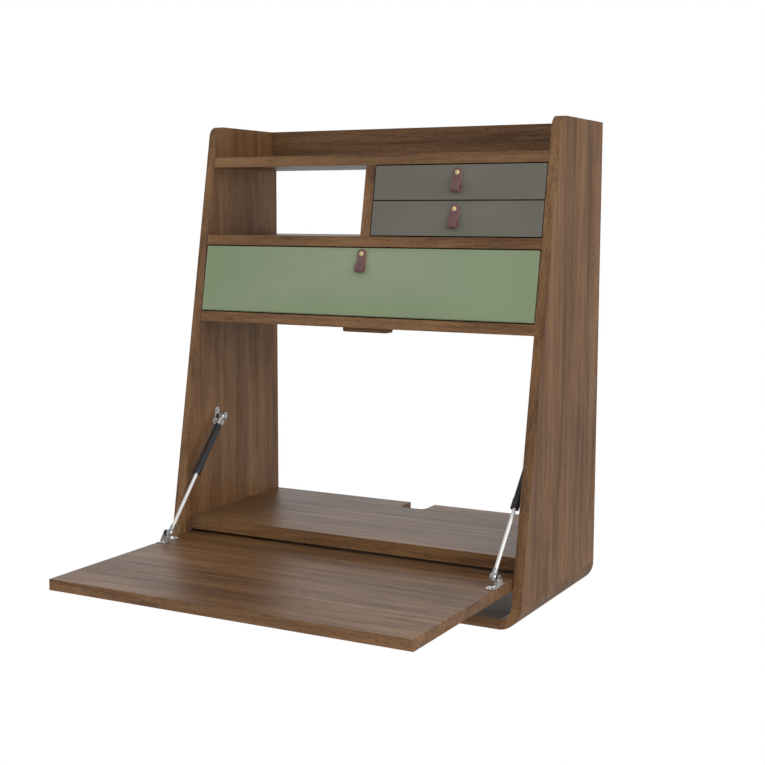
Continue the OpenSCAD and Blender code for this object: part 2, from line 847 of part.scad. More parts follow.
module strut_mount_lower_left() { color(chrome) handed(-1) strut_mount_lower(); }

module strut_mount_lower_right() { color(chrome) handed(1) strut_mount_lower(); }

// Screws of the leaf: two in each lower mount and two in each pivot plate
module leaf_screws() {
    color(chrome) placed() for (s = [1, -1]) handed(s) {
        for (t = [1, -1])
            translate([stay_x + tab_x_gap - mount_screw_x, lower_ball_y + t * mount_screw_y,
                leaf_top_z + mount_t]) pan_screw();
        plate_screws(0, 0);
    }
}

// Lower ball studs, riveted through the tabs
module ball_studs_lower() {
    color(chrome) placed() for (s = [1, -1])
        handed(s) translate([stay_x, lower_ball_y, lower_ball_z]) {
            ball_stud(tab_x_gap, low_hex_h);
            bar_x(tab_x_gap - over, tab_x_gap + mount_t + rivet_tail, 0, 0, thread_r);
        }
}

// Open leaf: level board, let in at its ends for the pivot plates
module leaf_board() {
    color(walnut) placed() difference() {
        translate([-leaf_half_w, pivot_y - leaf_reach, leaf_top_z - leaf_t])
            cube([2 * leaf_half_w, leaf_reach + leaf_tail, leaf_t]);
        for (s = [1, -1]) handed(s) {
            across(leaf_half_w - plate_let_in, plate_t) pivot_plate_outline();
            plate_screws(pin_fit, hole_end_gap);
            for (t = [1, -1])
                translate([stay_x + tab_x_gap - mount_screw_x, lower_ball_y + t * mount_screw_y,
                    leaf_top_z + mount_t - small_screw_l - hole_end_gap])
                    cylinder(r = small_screw_r + pin_fit, h = small_screw_l + hole_end_gap);
        }
    }
}

// Outline of a pivot plate, in Y and Z: a bar in the leaf's end and an eye above it
module pivot_plate_outline() {
    translate([pivot_y - plate_half_l, leaf_top_z - leaf_t + plate_margin])
        square([2 * plate_half_l, leaf_t - 2 * plate_margin]);
    translate([pivot_y - eye_r, leaf_top_z - leaf_t / 2])
        square([2 * eye_r, leaf_t / 2 + pivot_rise]);
    translate([pivot_y, pivot_z]) circle(r = eye_r);
}

module leaf_pivot_plates() {
    color(brown) placed() for (s = [1, -1]) handed(s) difference() {
        across(leaf_half_w - plate_let_in, plate_t) pivot_plate_outline();
        bar_x(leaf_half_w - plate_let_in - over, plate_out_x + over, pivot_y, pivot_z,
            leaf_pin_r + pin_fit);
        plate_screws(pin_fit, hole_end_gap);
    }
}

// Two flat head screws of the right hand pivot plate
module plate_screws(grow, end_grow) {
    for (t = [1, -1])
        translate([plate_out_x, pivot_y + t * plate_screw_offset, leaf_top_z - leaf_t / 2])
            rotate([0, -90, 0]) {
                cylinder(r = small_screw_r + grow, h = small_screw_l + end_grow);
                cylinder(r1 = flat_head_r + grow, r2 = small_screw_r + grow, h = flat_head_h);
            }
}

module leaf_pivot_pins() {
    color(chrome) placed() for (s = [1, -1])
        handed(s) bar_x(leaf_pin_end_x, inner_x + leaf_pin_in, pivot_y, pivot_z, leaf_pin_r);
}

// Drop front, closed: level lower edge, top edge square to the face
module flap_outline() {
    into = [cos(lean), -sin(lean)];
    foot = [front_y(flap_z), flap_z];
    head = [front_y(flap_top_z), flap_top_z];
    foot_back = [foot[0] + flap_t / cos(lean), flap_z];
    cut_z = flap_z + flap_edge;
    polygon([[foot[0] + flap_edge, flap_z], [front_y(cut_z), cut_z], head,
        head + flap_t * into, foot_back]);
}

module flap_panel() {
    color(green) placed() difference() {
        across(-flap_half_w, 2 * flap_half_w) flap_outline();
        for (s = [1, -1])
            handed(s) bar_x(inner_x - flap_pin_deep - hole_end_gap, inner_x + over,
                flap_pivot_y, flap_pivot_z, flap_pin_r + pin_fit);
        at_front(0, flap_top_z - flap_pull_down) rivet_cut();
    }
}

module flap_pivot_pins() {
    color(chrome) placed() for (s = [1, -1])
        handed(s) bar_x(inner_x - flap_pin_deep, inner_x + flap_pin_in, flap_pivot_y,
            flap_pivot_z, flap_pin_r);
}

module flap_stop_pins() {
    color(chrome) placed() for (s = [1, -1])
        handed(s) bar_x(inner_x - stop_pin_out, inner_x + flap_pin_in, stop_pin_y,
            stop_pin_z, stop_pin_r);
}

// Frame on the sloping front: X right, Z up the slope, -Y out of the face
module at_front(x, z) {
    translate([x, front_y(z), z]) rotate([-lean, 0, 0]) children();
}

// Hole for a rivet through a front
module rivet_cut() {
    translate([0, -over, 0]) rotate([-90, 0, 0])
        cylinder(r = rivet_r + pin_fit, h = 2 * flap_t);
}

// Rivet of a pull: domed head outside, shank through the strap and the front, flat nut
module rivet(front_t) {
    head_y = -2 * strap_t - 2 * face_gap;
    dome_r = dome_share * rivet_head_r;
    rotate([-90, 0, 0]) {
        translate([0, 0, head_y]) cylinder(r = rivet_r, h = front_t - head_y + face_gap);
        translate([0, 0, front_t + face_gap]) cylinder(r = rivet_nut_r, h = rivet_nut_h);
        translate([0, 0, head_y - rivet_head_h]) intersection() {
            cylinder(r = rivet_head_r, h = rivet_head_h);
            translate([0, 0, dome_r]) sphere(r = dome_r);
        }
    }
}

// Tangent point on the circle at c of the line from a that passes it on the given side
function tangent(a, c, r, side) =
    let (gap = norm(a - c), base = atan2(a[1] - c[1], a[0] - c[0]))
    c + r * [cos(base + side * acos(r / gap)), sin(base + side * acos(r / gap))];

// Angle at c of the tangent point for the line from a
function turn_to(a, c) = atan2(a[1] - c[1], a[0] - c[0]);
function turn_off(a, c, r) = acos(r / norm(a - c));

// Points on an arc round c
function arc(c, r, from, to) =
    [for (i = [0:arc_steps]) let (t = from + (to - from) * i / arc_steps)
        c + r * [cos(t), sin(t)]];

// Side view of the folded strap: distance from the face, height along the slope
module strap_outline() {
    c = [loop_n, loop_w];
    inner_r = loop_r - strap_t;
    outer = [2 * strap_t, strap_pinch_w];
    pinch = [strap_t, strap_pinch_w - strap_t];
    difference() {
        polygon(concat([[0, loop_w + loop_r], [0, strap_head], [2 * strap_t, strap_head], outer],
            arc(c, loop_r, turn_to(outer, c) - turn_off(outer, c, loop_r), -180)));
        polygon(concat([pinch], arc(c, inner_r,
            turn_to(pinch, c) - turn_off(pinch, c, inner_r),
            turn_to(pinch, c) + turn_off(pinch, c, inner_r) - full_turn)));
    }
}

// Strap with its rounded end, cut for the rivet
module strap() {
    difference() {
        intersection() {
            translate([strap_w / 2, -face_gap, 0]) rotate([90, 0, -90])
                linear_extrude(strap_w) strap_outline();
            translate([0, over, 0]) rotate([90, 0, 0]) linear_extrude(4 * loop_r) {
                translate([-strap_w / 2, -strap_drop - over])
                    square([strap_w, strap_drop + over + strap_head - strap_corner_r]);
                translate([0, strap_head - strap_corner_r]) circle(r = strap_corner_r);
            }
        }
        translate([0, over, 0]) rotate([90, 0, 0])
            cylinder(r = rivet_r + pin_fit, h = 4 * strap_t);
    }
}

module flap_pull() {
    color(leather) placed() at_front(0, flap_top_z - flap_pull_down) strap();
}

module flap_rivet() {
    color(brass) placed() at_front(0, flap_top_z - flap_pull_down) rivet(flap_t);
}

// Lower edge of the front of drawer i, 0 below and 1 above
function drawer_z(i) = drawer_z0 + i * (drawer_front_h + front_gap);
function pull_z(i) = drawer_z(i) + drawer_front_h - drawer_pull_down;
function back_face_y(z) = front_y(z) + drawer_front_t / cos(lean);

module drawer_front(i) {
    z0 = drawer_z(i);
    z1 = z0 + drawer_front_h;
    color(grey) placed() difference() {
        across(bay_mid - front_half_w, 2 * front_half_w)
            polygon([[front_y(z0), z0], [front_y(z1), z1], [back_face_y(z1), z1],
                [back_face_y(z0), z0]]);
        at_front(bay_mid, pull_z(i)) rivet_cut();
    }
}

// Height of the middle of the runner of drawer i
function runner_z(i) = drawer_z(i) + drawer_lift
    + (drawer_front_h - drawer_lift - drawer_drop) * runner_share + runner_h / 4;

// Right hand side of drawer i, seen from the middle of the bay
module drawer_side(i) {
    z0 = drawer_z(i) + drawer_lift;
    z1 = drawer_z(i) + drawer_front_h - drawer_drop;
    difference() {
        across(drawer_half_w - drawer_side_t, drawer_side_t)
            polygon([[back_face_y(z0), z0], [back_face_y(z1), z1], [drawer_back_y, z1],
                [drawer_back_y, z0]]);
        translate([drawer_half_w - runner_grip - groove_gap, groove_front_y(i),
            runner_z(i) - runner_h / 2 - runner_fit])
            cube([drawer_side_t, depth_bottom, runner_h + 2 * runner_fit]);
        translate([drawer_half_w - drawer_side_t - over, -depth_bottom,
            z0 + tray_up - tray_fit])
            cube([tray_in + over, depth_bottom, tray_t + 2 * tray_fit]);
    }
}

// Blind front end of the groove and the front end of the runner
function groove_front_y(i) = back_face_y(drawer_z(i) + drawer_front_h) + drawer_side_t;
function runner_front_y(i) = groove_front_y(i) + rest_gap;

module drawer_side_at(i, s) {
    color(walnut_pale) placed() translate([bay_mid, 0, 0]) handed(s) drawer_side(i);
}

module drawer_back(i) {
    z0 = drawer_z(i) + drawer_lift + tray_up + tray_t;
    z1 = drawer_z(i) + drawer_front_h - drawer_drop;
    color(walnut_pale) placed()
        translate([bay_mid - drawer_half_w + drawer_side_t, drawer_back_y - drawer_side_t, z0])
            cube([2 * (drawer_half_w - drawer_side_t), drawer_side_t, z1 - z0]);
}

module drawer_bottom(i) {
    z0 = drawer_z(i) + drawer_lift + tray_up;
    half_w = drawer_half_w - drawer_side_t + tray_in - groove_gap;
    color(walnut_pale) placed() across(bay_mid - half_w, 2 * half_w)
        polygon([[back_face_y(z0), z0], [back_face_y(z0 + tray_t), z0 + tray_t],
            [drawer_back_y, z0 + tray_t], [drawer_back_y, z0]]);
}

module drawer_pull(i) {
    color(leather) placed() at_front(bay_mid, pull_z(i)) strap();
}

module drawer_rivet(i) {
    color(brass) placed() at_front(bay_mid, pull_z(i)) rivet(drawer_front_t);
}

// Runner strips on the upright and on the right hand side panel
module drawer_runners() {
    w = drawer_side_gap + runner_grip;
    color(walnut_pale) placed() for (i = [0, 1], s = [1, -1])
        translate([bay_mid, 0, 0]) handed(s)
            translate([drawer_half_w - runner_grip, runner_front_y(i),
                runner_z(i) - runner_h / 2])
                cube([w, -runner_back - runner_front_y(i), runner_h]);
}

module drawer_upper_front() { drawer_front(1); }

module drawer_upper_side_left() { drawer_side_at(1, -1); }

module drawer_upper_side_right() { drawer_side_at(1, 1); }

module drawer_upper_back() { drawer_back(1); }

module drawer_upper_bottom() { drawer_bottom(1); }

module drawer_upper_pull() { drawer_pull(1); }

module drawer_upper_rivet() { drawer_rivet(1); }

module drawer_lower_front() { drawer_front(0); }

module drawer_lower_side_left() { drawer_side_at(0, -1); }

module drawer_lower_side_right() { drawer_side_at(0, 1); }

module drawer_lower_back() { drawer_back(0); }

module drawer_lower_bottom() { drawer_bottom(0); }

module drawer_lower_pull() { drawer_pull(0); }

module drawer_lower_rivet() { drawer_rivet(0); }

wall_bar();
cabinet_bar();
cabinet_bar_screws();
side_panel_left();
side_panel_right();
bottom_panel();
corner_block_left();
corner_block_right();
back_rail();
top_shelf();
middle_shelf();
lower_shelf();
divider();
drawer_bay_back();
flap_space_back();
desk_shelf();
dowels();
stop_block();
strut_mount_upper_left();
strut_mount_upper_right();
upper_mount_screws();
drawer_runners();
leaf_pivot_pins();
flap_pivot_pins();
flap_stop_pins();
leaf_board();
leaf_pivot_plates();
strut_mount_lower_left();
strut_mount_lower_right();
leaf_screws();
ball_studs_lower();
flap_panel();
flap_pull();
flap_rivet();
drawer_upper_front();
drawer_upper_side_left();
drawer_upper_side_right();
drawer_upper_back();
drawer_upper_bottom();
drawer_upper_pull();
drawer_upper_rivet();
drawer_lower_front();
drawer_lower_side_left();
drawer_lower_side_right();
drawer_lower_back();
drawer_lower_bottom();
drawer_lower_pull();
drawer_lower_rivet();
strut_rod_left();
strut_socket_lower_left();
strut_tube_left();
strut_guide_left();
strut_socket_upper_left();
ball_stud_upper_left();
strut_rod_right();
strut_socket_lower_right();
strut_tube_right();
strut_guide_right();
strut_socket_upper_right();
ball_stud_upper_right();
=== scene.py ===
import json
import math

import bmesh
import bpy
from mathutils import Matrix, Vector


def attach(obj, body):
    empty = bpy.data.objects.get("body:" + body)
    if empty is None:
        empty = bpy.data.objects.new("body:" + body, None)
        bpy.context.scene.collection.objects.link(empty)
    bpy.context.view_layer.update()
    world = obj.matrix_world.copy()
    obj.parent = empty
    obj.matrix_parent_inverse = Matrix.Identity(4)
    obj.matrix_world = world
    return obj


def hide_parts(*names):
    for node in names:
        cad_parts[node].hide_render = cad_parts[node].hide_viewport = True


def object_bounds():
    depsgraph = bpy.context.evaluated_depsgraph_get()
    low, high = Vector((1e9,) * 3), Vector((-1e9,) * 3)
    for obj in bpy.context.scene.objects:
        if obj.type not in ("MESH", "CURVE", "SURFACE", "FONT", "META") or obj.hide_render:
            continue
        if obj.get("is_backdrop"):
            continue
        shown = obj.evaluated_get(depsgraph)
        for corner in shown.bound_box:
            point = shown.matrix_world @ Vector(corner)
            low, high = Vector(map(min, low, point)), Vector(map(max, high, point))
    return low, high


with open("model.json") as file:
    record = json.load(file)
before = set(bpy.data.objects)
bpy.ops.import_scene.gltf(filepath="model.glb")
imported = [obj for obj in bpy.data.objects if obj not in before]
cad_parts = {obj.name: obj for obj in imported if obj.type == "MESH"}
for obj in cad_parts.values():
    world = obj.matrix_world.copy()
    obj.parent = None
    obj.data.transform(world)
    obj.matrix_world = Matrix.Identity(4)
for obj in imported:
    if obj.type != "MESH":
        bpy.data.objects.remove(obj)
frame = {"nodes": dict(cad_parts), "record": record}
low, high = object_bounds()
scene = bpy.context.scene
nodes = frame["nodes"]
body_of = {n: b for b, ns in frame["record"]["behaviour"]["bodies"].items() for n in ns}
slot_of = {s["node"]: s["material_slot"] for s in frame["record"]["subparts"]}

WHITE = (1.0, 1.0, 1.0, 1)


def srgb(r, g, b):
    """A linear shader colour from the 0 to 255 values of a picture."""
    out = []
    for v in (r, g, b):
        v /= 255
        out.append(v / 12.92 if v <= 0.04045 else ((v + 0.055) / 1.055) ** 2.4)
    return (*out, 1)


# Materials. Lengths are in metres, and a noise scale counts its features per metre.
class Tree:
    """A material and a small helper for wiring its shader nodes."""

    def __init__(self, name):
        self.mat = bpy.data.materials.new(name)
        self.mat.use_nodes = True
        self.t = self.mat.node_tree
        self.t.nodes.clear()
        self.out = self.t.nodes.new("ShaderNodeOutputMaterial")
        self.bsdf = self.t.nodes.new("ShaderNodeBsdfPrincipled")
        self.t.links.new(self.bsdf.outputs[0], self.out.inputs[0])

    def link(self, source, socket):
        """Sets the socket to a constant, or wires an output to it."""
        if isinstance(source, (int, float, tuple)):
            socket.default_value = source
        else:
            self.t.links.new(source, socket)

    def coords(self, stretch):
        """Object coordinates moved by the piece's own seed, then scaled per axis."""
        tc = self.t.nodes.new("ShaderNodeTexCoord")
        mp = self.t.nodes.new("ShaderNodeMapping")
        mp.inputs["Scale"].default_value = stretch
        at = self.t.nodes.new("ShaderNodeAttribute")
        at.attribute_name = "seed"
        n = self.t.nodes.new("ShaderNodeVectorMath")
        n.operation = "ADD"
        self.link(tc.outputs["Object"], n.inputs[0])
        self.link(at.outputs["Vector"], n.inputs[1])
        self.link(n.outputs[0], mp.inputs["Vector"])
        return mp.outputs[0]

    def noise(self, vec, scale, detail, rough, distort=0.0):
        n = self.t.nodes.new("ShaderNodeTexNoise")
        self.link(vec, n.inputs["Vector"])
        n.inputs["Scale"].default_value = scale
        n.inputs["Detail"].default_value = detail
        n.inputs["Roughness"].default_value = rough
        n.inputs["Distortion"].default_value = distort
        return n.outputs["Fac"]

    def ramp(self, fac, *stops):
        """A colour ramp; a stop is a place and a colour, or a place and a grey value."""
        n = self.t.nodes.new("ShaderNodeValToRGB")
        self.link(fac, n.inputs[0])
        cr = n.color_ramp
        while len(cr.elements) < len(stops):
            cr.elements.new(0.5)
        for e, (pos, col) in zip(cr.elements, stops):
            e.position = pos
            e.color = col if isinstance(col, tuple) else (col, col, col, 1)
        return n.outputs[0]

    def mix(self, mode, fac, a, b):
        n = self.t.nodes.new("ShaderNodeMix")
        n.data_type = "RGBA"
        n.blend_type = mode
        self.link(fac, n.inputs[0])
        # Sockets 6 and 7 are the colour inputs A and B; output 2 is the colour
        self.link(a, n.inputs[6])
        self.link(b, n.inputs[7])
        return n.outputs[2]

    def math(self, op, a, b):
        n = self.t.nodes.new("ShaderNodeMath")
        n.operation = op
        self.link(a, n.inputs[0])
        self.link(b, n.inputs[1])
        return n.outputs[0]

    def bump(self, height, strength, distance):
        n = self.t.nodes.new("ShaderNodeBump")
        n.inputs["Strength"].default_value = strength
        n.inputs["Distance"].default_value = distance
        self.link(height, n.inputs["Height"])
        return n.outputs[0]

    def finish(self, colour, rough, normal, metallic=0.0, ior=None):
        self.link(colour, self.bsdf.inputs["Base Color"])
        self.link(rough, self.bsdf.inputs["Roughness"])
        self.link(normal, self.bsdf.inputs["Normal"])
        self.bsdf.inputs["Metallic"].default_value = metallic
        if ior is not None:
            self.bsdf.inputs["IOR"].default_value = ior
        return self.mat


EVEN = (1, 1, 1)
GRAIN_DRAW = 0.055          # scale along the grain, against 1 across it
PORE_SHORTEN = 3.2          # pores are this much shorter than the figure
VENEER_DARK, VENEER_MID = srgb(106, 76, 49), srgb(123, 90, 58)
VENEER_LIGHT = srgb(136, 102, 68)
# What darkens the veneer's colour: streaks, fibres, broad bands and pores
STREAK_TINT, STREAK_PALE = srgb(188, 176, 166), srgb(250, 248, 245)
FIBRE_TINT = srgb(196, 186, 176)
BROAD_TINT = srgb(222, 214, 208)
PORE_TINT = srgb(120, 98, 78)
VENEER_IOR = 1.46
LACQUER_IOR = 1.42
LACQUER_PALE_EDGE = 0.10    # strength of the paler colour on edges
PALE_EDGE_TINT = srgb(210, 210, 205)
LACQUER_SPREAD = 0.05       # how far roughness goes up and down
LEATHER_SPREAD = 0.06
LEATHER_CELL_SCALE = 1500


def walnut(name, grain):
    """Veneer with its grain along x or z: figure, streaks, fibres and pores."""
    t = Tree(name)
    stretch = (GRAIN_DRAW, 1.0, 1.0) if grain == "x" else (1.0, 1.0, GRAIN_DRAW)
    base = t.coords(stretch)
    fine = t.coords(tuple(PORE_SHORTEN * v if v == GRAIN_DRAW else v for v in stretch))
    figure = t.noise(base, scale=22, detail=3, rough=0.5, distort=0.6)
    streak = t.noise(base, scale=75, detail=5, rough=0.62, distort=0.25)
    fibre = t.noise(base, scale=420, detail=3, rough=0.7)
    pores = t.noise(fine, scale=650, detail=2, rough=0.5)
    broad = t.noise(t.coords(EVEN), scale=5, detail=2, rough=0.5)
    col = t.ramp(figure, (0.28, VENEER_DARK), (0.5, VENEER_MID), (0.72, VENEER_LIGHT))
    streaks = t.ramp(streak, (0.32, STREAK_TINT), (0.55, STREAK_PALE), (0.75, WHITE))
    col = t.mix("MULTIPLY", 0.85, col, streaks)
    col = t.mix("MULTIPLY", 0.7, col, t.ramp(fibre, (0.3, FIBRE_TINT), (0.6, WHITE)))
    dash = t.ramp(pores, (0.34, 0.0), (0.42, 1.0))
    col = t.mix("MULTIPLY", 0.55, col, t.mix("MIX", dash, PORE_TINT, WHITE))
    col = t.mix("MULTIPLY", 0.5, col, t.ramp(broad, (0.35, BROAD_TINT), (0.65, WHITE)))
    height = t.math("ADD", t.math("MULTIPLY", fibre, 0.35), dash)
    rough = t.ramp(streak, (0.3, 0.44), (0.7, 0.35))
    relief = t.bump(height, strength=0.22, distance=0.0004)
    return t.finish(col, rough, relief, ior=VENEER_IOR)


def pale_wood(name):
    """Light drawer wood with its grain along y."""
    t = Tree(name)
    base = t.coords((1.0, 0.06, 1.0))
    streak = t.noise(base, scale=60, detail=4, rough=0.6, distort=0.2)
    fibre = t.noise(base, scale=380, detail=3, rough=0.7)
    col = t.ramp(streak, (0.3, srgb(196, 170, 134)), (0.7, srgb(222, 200, 166)))
    col = t.mix("MULTIPLY", 0.5, col, t.ramp(fibre, (0.3, 0.62), (0.65, 1.0)))
    rough = t.ramp(fibre, (0.3, 0.62), (0.7, 0.5))
    relief = t.bump(fibre, strength=0.2, distance=0.0003)
    return t.finish(col, rough, relief)


def lacquer(name, colour, dark, rough):
    """Matt lacquer on board: slight cloudiness, fine peel and a paler colour on convex
    edges.
    """
    t = Tree(name)
    vec = t.coords(EVEN)
    cloud = t.noise(vec, scale=7, detail=3, rough=0.5)
    peel = t.noise(vec, scale=900, detail=2, rough=0.5)
    geo = t.t.nodes.new("ShaderNodeNewGeometry")
    edge = t.ramp(geo.outputs["Pointiness"], (0.52, 0.0), (0.62, 1.0))
    col = t.ramp(cloud, (0.3, dark), (0.7, colour))
    # Convex edges, picked out by pointiness, get a paler colour screened over the lacquer
    col = t.mix("SCREEN", t.math("MULTIPLY", edge, LACQUER_PALE_EDGE), col,
                PALE_EDGE_TINT)
    gloss = t.ramp(peel, (0.3, rough + LACQUER_SPREAD), (0.7, rough - LACQUER_SPREAD))
    relief = t.bump(peel, strength=0.05, distance=0.0002)
    return t.finish(col, gloss, relief, ior=LACQUER_IOR)


def leather(name, colour, dark, rough):
    """Grained leather: small cells in relief, cloudy colour."""
    t = Tree(name)
    vec = t.coords(EVEN)
    cells = t.t.nodes.new("ShaderNodeTexVoronoi")
    cells.inputs["Scale"].default_value = LEATHER_CELL_SCALE
    t.link(vec, cells.inputs["Vector"])
    cloud = t.noise(vec, scale=110, detail=4, rough=0.6)
    fine = t.noise(vec, scale=2400, detail=3, rough=0.6)
    col = t.ramp(cloud, (0.3, dark), (0.7, colour))
    col = t.mix("MULTIPLY", 0.35, col, t.ramp(fine, (0.3, 0.7), (0.7, 1.0)))
    height = t.math("ADD", cells.outputs["Distance"], t.math("MULTIPLY", fine, 0.4))
    gloss = t.ramp(cloud, (0.3, rough + LEATHER_SPREAD),
                   (0.7, rough - LEATHER_SPREAD))
    relief = t.bump(height, strength=0.35, distance=0.0003)
    return t.finish(col, gloss, relief)


def metal(name, colour, rough, wear, metallic=1.0, bump=0.04, stretch=EVEN):
    """Bare, plated or painted metal: fine marks and a little unevenness in its gloss."""
    t = Tree(name)
    marks = t.noise(t.coords(stretch), scale=900, detail=3, rough=0.6)
    cloud = t.noise(t.coords(EVEN), scale=60, detail=3, rough=0.5)
    worn = tuple(v * (1 - wear) for v in colour[:3]) + (1,)
    col = t.ramp(cloud, (0.3, worn), (0.7, colour))
    gloss = t.ramp(marks, (0.3, rough * 1.35), (0.7, rough * 0.75))
    relief = t.bump(marks, strength=bump, distance=0.0002)
    return t.finish(col, gloss, relief, metallic=metallic)


M = {
    "walnut_x": walnut("walnut_grain_x", "x"),
    "walnut_z": walnut("walnut_grain_z", "z"),
    "birch": pale_wood("pale_drawer_wood"),
    "green_lacquer": lacquer("sage_green_lacquer", srgb(115, 129, 97),
                             srgb(111, 125, 93), 0.46),
    "grey_lacquer": lacquer("warm_grey_lacquer", srgb(88, 86, 76),
                            srgb(84, 82, 72), 0.44),
    "leather": leather("plum_leather", srgb(112, 80, 80), srgb(92, 64, 65), 0.5),
    "leather_edge": leather("leather_raw_edge", srgb(150, 106, 92),
                            srgb(122, 82, 72), 0.7),
    "brass": metal("satin_brass", srgb(224, 208, 146), 0.42, 0.08, metallic=0.45),
    "chrome": metal("bright_chrome", (0.88, 0.88, 0.88, 1), 0.21, 0.05, metallic=0.9,
                    bump=0.003),
    "bright_rod": metal("polished_rod", (0.95, 0.94, 0.92, 1), 0.3, 0.02, metallic=0.5,
                        bump=0.001),
    "black_steel": metal("black_painted_steel", srgb(46, 46, 49), 0.34, 0.2,
                         metallic=0.0),
    "brown_steel": metal("brown_painted_steel", srgb(92, 68, 50), 0.45, 0.15,
                         metallic=0.0),
    "zinc_steel": metal("zinc_steel", (0.55, 0.56, 0.57, 1), 0.30, 0.15),
    "bar_aluminium": metal("mill_aluminium", (0.66, 0.67, 0.68, 1), 0.32, 0.1,
                           stretch=(0.03, 1, 1)),
}
GRAIN_Z = ("side_panel", "corner_block", "divider")
ROD = "strut_rod"


def material_for(node):
    slot = slot_of[node]
    if slot == "walnut":
        return M["walnut_z" if node.startswith(GRAIN_Z) else "walnut_x"]
    if node.startswith(ROD):
        return M["bright_rod"]
    return M[slot]


# Pieces
# Softened edges by slot: width, segments, and the shortest edge that is softened
EDGE = {"walnut": (0.0008, 3, 0.012), "birch": (0.0006, 2, 0.01),
        "green_lacquer": (0.0010, 3, 0.01), "grey_lacquer": (0.0010, 3, 0.01),
        "leather": (0.0005, 2, 0.0004), "bar_aluminium": (0.0003, 2, 0.01)}
SOFTEN_ANGLE = math.radians(38)
SMOOTH_ANGLE = math.radians(40)
FLAT_ANGLE = math.radians(0.5)
WELD = 2e-6
NORMAL_WEIGHT = 80
CUT_FACE = 0.5              # a strap's face that looks this much along x is a cut edge
SEED_STEP = (0.731, 0.377, 0.553)


def dress(node, seed):
    """A copy of the node's solid with softened long edges, shown in its place."""
    mesh = nodes[node].data.copy()
    mesh.name = "look_" + node
    obj = bpy.data.objects.new("look_" + node, mesh)
    scene.collection.objects.link(obj)
    slot = slot_of[node]
    bm = bmesh.new()
    bm.from_mesh(mesh)
    bmesh.ops.remove_doubles(bm, verts=bm.verts, dist=WELD)
    bmesh.ops.dissolve_limit(bm, angle_limit=FLAT_ANGLE, verts=bm.verts, edges=bm.edges)
    if slot in EDGE:
        width, steps, shortest = EDGE[slot]
        sharp = [e for e in bm.edges if len(e.link_faces) == 2
                 and e.calc_face_angle(0) > SOFTEN_ANGLE
                 and e.calc_length() > shortest]
        bmesh.ops.bevel(bm, geom=sharp, offset=width, segments=steps, profile=0.5,
                        affect="EDGES", clamp_overlap=True)
    for f in bm.faces:
        f.smooth = True
    bm.to_mesh(mesh)
    bm.free()
    mesh.set_sharp_from_angle(angle=SMOOTH_ANGLE)
    mesh.materials.clear()
    mesh.materials.append(material_for(node))
    if slot == "leather":
        mesh.materials.append(M["leather_edge"])
        for p in mesh.polygons:
            p.material_index = 1 if abs(p.normal.x) > CUT_FACE else 0
    # The seed moves the piece's texture, so that no two boards look alike
    at = mesh.attributes.new("seed", "FLOAT_VECTOR", "POINT")
    at.data.foreach_set("vector", [seed * v for v in SEED_STEP] * len(mesh.vertices))
    wn = obj.modifiers.new("even_normals", "WEIGHTED_NORMAL")
    wn.keep_sharp = True
    wn.weight = NORMAL_WEIGHT
    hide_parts(node)
    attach(obj, body_of[node])


for i, node in enumerate(sorted(nodes)):
    dress(node, i + 1)

# Room
FLOOR_SIZE = 14
FLOOR_PLACE = (0, -0.75, low.z - 0.65)
FLOOR_GREY = (0.86, 0.86, 0.86, 1)
FLOOR_GLOW = 0.35           # the floor's own light on the object
NEAR, FAR = 0.3, 1.0        # metres from the floor's middle: shadow kept, plain white
NEAR_WHITE = 0.35           # share of plain white in the shadow's middle
WORLD_LIGHT = 0.87
BACKDROP = (-0.47, 0.88, 0.0)                   # from the camera to behind the object
MIRRORED = {"From Min": 0.72, "From Max": 0.97, "To Min": 0.2, "To Max": 1.0}


def add(tree, kind, operation=None):
    """A new shader node of this kind."""
    n = tree.nodes.new("ShaderNode" + kind)
    if operation:
        n.operation = operation
    return n


def wire(tree, *pairs):
    for source, socket in pairs:
        tree.links.new(source, socket)


def either(tree, a, b):
    """1 where a or b is 1."""
    n = add(tree, "Math", "MAXIMUM")
    wire(tree, (a, n.inputs[0]), (b, n.inputs[1]))
    return n.outputs[0]


def blend(tree, fac, first, second):
    """The first shader where fac is 0, the second where it is 1."""
    n = add(tree, "MixShader")
    wire(tree, (fac, n.inputs[0]), (first, n.inputs[1]), (second, n.inputs[2]))
    return n.outputs[0]


def spread(tree, value, limits, smooth=True):
    """A value taken from one range to another."""
    n = add(tree, "MapRange")
    if smooth:
        n.interpolation_type = "SMOOTHSTEP"
    for key, limit in limits.items():
        n.inputs[key].default_value = limit
    wire(tree, (value, n.inputs["Value"]))
    return n.outputs[0]


def floor_material():
    """White floor that keeps a soft shadow near the object and is plain white far off."""
    m = bpy.data.materials.new("pale_floor")
    m.use_nodes = True
    t = m.node_tree
    t.nodes.clear()
    out = add(t, "OutputMaterial")
    grey = add(t, "BsdfDiffuse")
    grey.inputs["Color"].default_value = FLOOR_GREY
    plain = add(t, "Emission")
    plain.inputs["Color"].default_value = WHITE
    ray = add(t, "LightPath").outputs
    strength = spread(t, ray["Is Camera Ray"], {"To Min": FLOOR_GLOW, "To Max": 1.0},
                      smooth=False)
    distance = add(t, "VectorMath", "LENGTH")
    wire(t, (add(t, "TexCoord").outputs["Object"], distance.inputs[0]),
         (strength, plain.inputs["Strength"]))
    whiten = spread(t, distance.outputs["Value"],
                    {"From Min": NEAR, "From Max": FAR, "To Min": NEAR_WHITE,
                     "To Max": 1.0})
    share = add(t, "Math", "MULTIPLY")
    wire(t, (either(t, ray["Is Camera Ray"], ray["Is Glossy Ray"]), share.inputs[0]),
         (whiten, share.inputs[1]))
    wire(t, (blend(t, share.outputs[0], grey.outputs[0], plain.outputs[0]),
             out.inputs["Surface"]))
    return m


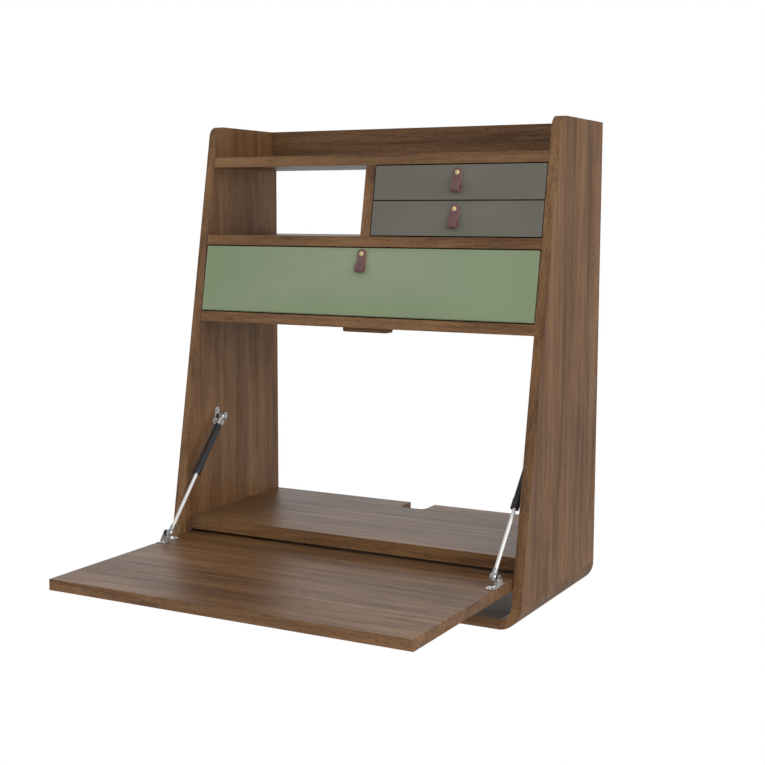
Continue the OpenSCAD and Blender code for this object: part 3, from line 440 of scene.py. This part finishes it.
bpy.ops.mesh.primitive_plane_add(size=FLOOR_SIZE, location=FLOOR_PLACE)
floor = bpy.context.object
floor.name = "floor"
floor.data.materials.append(floor_material())
floor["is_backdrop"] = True


def studio():
    """The world: light on the object, what glossy pieces mirror, the white behind."""
    world = bpy.data.worlds.new("studio")
    scene.world = world
    world.use_nodes = True
    t = world.node_tree
    t.nodes.clear()
    out = add(t, "OutputWorld")
    ray = add(t, "LightPath").outputs
    light, seen, gloss = (add(t, "Background") for _ in range(3))
    for shader, strength in ((light, WORLD_LIGHT), (seen, 1.0), (gloss, 1.0)):
        shader.inputs["Color"].default_value = WHITE
        shader.inputs["Strength"].default_value = strength
    # Glossy pieces mirror a white backdrop behind the object and a dimmer room before it
    side = add(t, "VectorMath", "DOT_PRODUCT")
    side.inputs[1].default_value = BACKDROP
    wire(t, (add(t, "TexCoord").outputs["Generated"], side.inputs[0]))
    wire(t, (spread(t, side.outputs["Value"], MIRRORED), gloss.inputs["Strength"]))
    lit = blend(t, ray["Is Glossy Ray"], light.outputs[0], gloss.outputs[0])
    behind = either(t, ray["Is Camera Ray"], ray["Is Transmission Ray"])
    wire(t, (blend(t, behind, lit, seen.outputs[0]), out.inputs["Surface"]))


studio()

# Name, place, point aimed at, size, watts, and whether glossy pieces mirror it
LAMPS = (
    ("key_lamp", (3.0, -1.25, 0.6), (0, -0.3, -0.5), (1.6, 1.6), 38, True),
    ("fill_lamp", (-2.2, -2.4, 0.6), (0, -0.3, -0.5), (1.8, 1.8), 8, False),
    ("top_lamp", (0.2, -0.9, 1.7), (0, -0.4, -0.5), (1.8, 1.2), 2, True),
    ("back_fill", (0.7, 1.0, -0.25), (-0.4, -0.2, -0.35), (0.8, 0.8), 8, False),
    ("front_lamp", (1.5, -3.0, 0.1), (-0.2, -0.2, -0.5), (1.8, 1.8), 15, False),
)
for name, place, aim, size, watts, mirrored in LAMPS:
    data = bpy.data.lights.new(name, "AREA")
    data.shape = "RECTANGLE"
    data.size, data.size_y = size
    data.energy = watts
    lamp = bpy.data.objects.new(name, data)
    scene.collection.objects.link(lamp)
    lamp.location = place
    lamp.rotation_mode = "QUATERNION"
    lamp.rotation_quaternion = (Vector(aim) - Vector(place)).to_track_quat("-Z", "Y")
    lamp.visible_glossy = mirrored
    lamp.visible_camera = False

# Camera, as solved from the edges of the desk in the photo
F_PX, CENTRE_PX, SENSOR_MM = 1355.948, 382.5, 36.0
YAW, PITCH, ROLL = 0.490772, -0.121638, 0.002531
CAMERA_PLACE = Vector((1.31856, -2.65963, -0.14305))
CLIP_START, CLIP_END = 0.05, 50
fwd = Vector((-math.sin(YAW) * math.cos(PITCH), math.cos(YAW) * math.cos(PITCH),
              math.sin(PITCH)))
level = Vector((math.cos(YAW), math.sin(YAW), 0.0))
upright = level.cross(fwd)
right = level * math.cos(ROLL) + upright * math.sin(ROLL)
up = upright * math.cos(ROLL) - level * math.sin(ROLL)
cam_data = bpy.data.cameras.new("photo_camera")
cam_data.sensor_width = SENSOR_MM
cam_data.lens = F_PX / (2 * CENTRE_PX) * SENSOR_MM
cam_data.clip_start = CLIP_START
cam_data.clip_end = CLIP_END
cam = bpy.data.objects.new("photo_camera", cam_data)
scene.collection.objects.link(cam)
cam.matrix_world = Matrix((
    (right.x, up.x, -fwd.x, CAMERA_PLACE.x), (right.y, up.y, -fwd.y, CAMERA_PLACE.y),
    (right.z, up.z, -fwd.z, CAMERA_PLACE.z), (0, 0, 0, 1)))
scene.camera = cam
scene.view_settings.view_transform = "Standard"

low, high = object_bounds()
